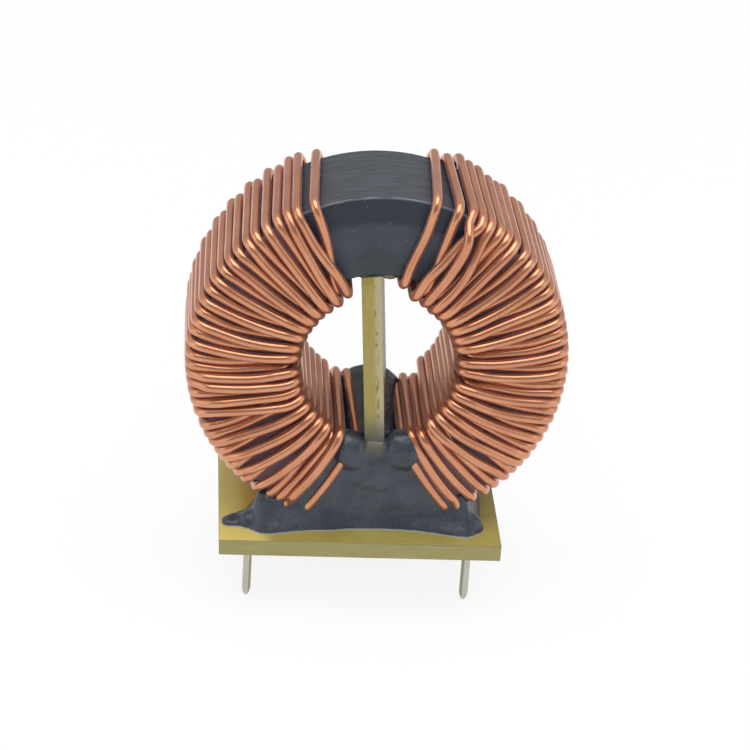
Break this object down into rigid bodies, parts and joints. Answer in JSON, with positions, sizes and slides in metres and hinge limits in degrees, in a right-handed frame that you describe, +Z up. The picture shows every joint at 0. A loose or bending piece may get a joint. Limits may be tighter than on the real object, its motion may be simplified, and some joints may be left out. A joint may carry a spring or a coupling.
{
  "type": "toroidal inductor",
  "caption": "Upright toroidal inductor with two copper wire windings on a coated ferrite ring, glued to a glass-epoxy base with square through-hole pins.",
  "frame": {"origin": "centre of the base board's underside, the face that seats on a circuit board", "axes": "+Z up from the seating face, through the ring; +Y towards the rear along the ring's axis; +X to the right seen from the front"},
  "size_m": [0.034, 0.018, 0.0407],
  "materials": {
    "glass_epoxy": "bare glass-epoxy laminate, olive yellow, satin faces and sawn edges",
    "tinned_pin": "dull tin plate on square wire",
    "ferrite": "dull dark grey sintered ferrite",
    "epoxy_coat": "slate grey epoxy coat, satin, slightly uneven",
    "enamelled_copper": "enamelled copper, clear orange lacquer, glossy",
    "solder": "dull solder",
    "adhesive": "cured black epoxy adhesive, glossy"
  },
  "bodies": {
    "root": {"base_board": "glass_epoxy", "divider_board": "glass_epoxy", "pin_front_left": "tinned_pin", "pin_front_right": "tinned_pin", "pin_rear_left": "tinned_pin", "pin_rear_right": "tinned_pin", "ferrite_core": "ferrite", "core_coating": "epoxy_coat", "winding_left": "enamelled_copper", "winding_right": "enamelled_copper", "solder_front_left": "solder", "solder_front_right": "solder", "solder_rear_left": "solder", "solder_rear_right": "solder", "adhesive_bed": "adhesive", "adhesive_dab": "adhesive"}
  },
  "joints": []
}
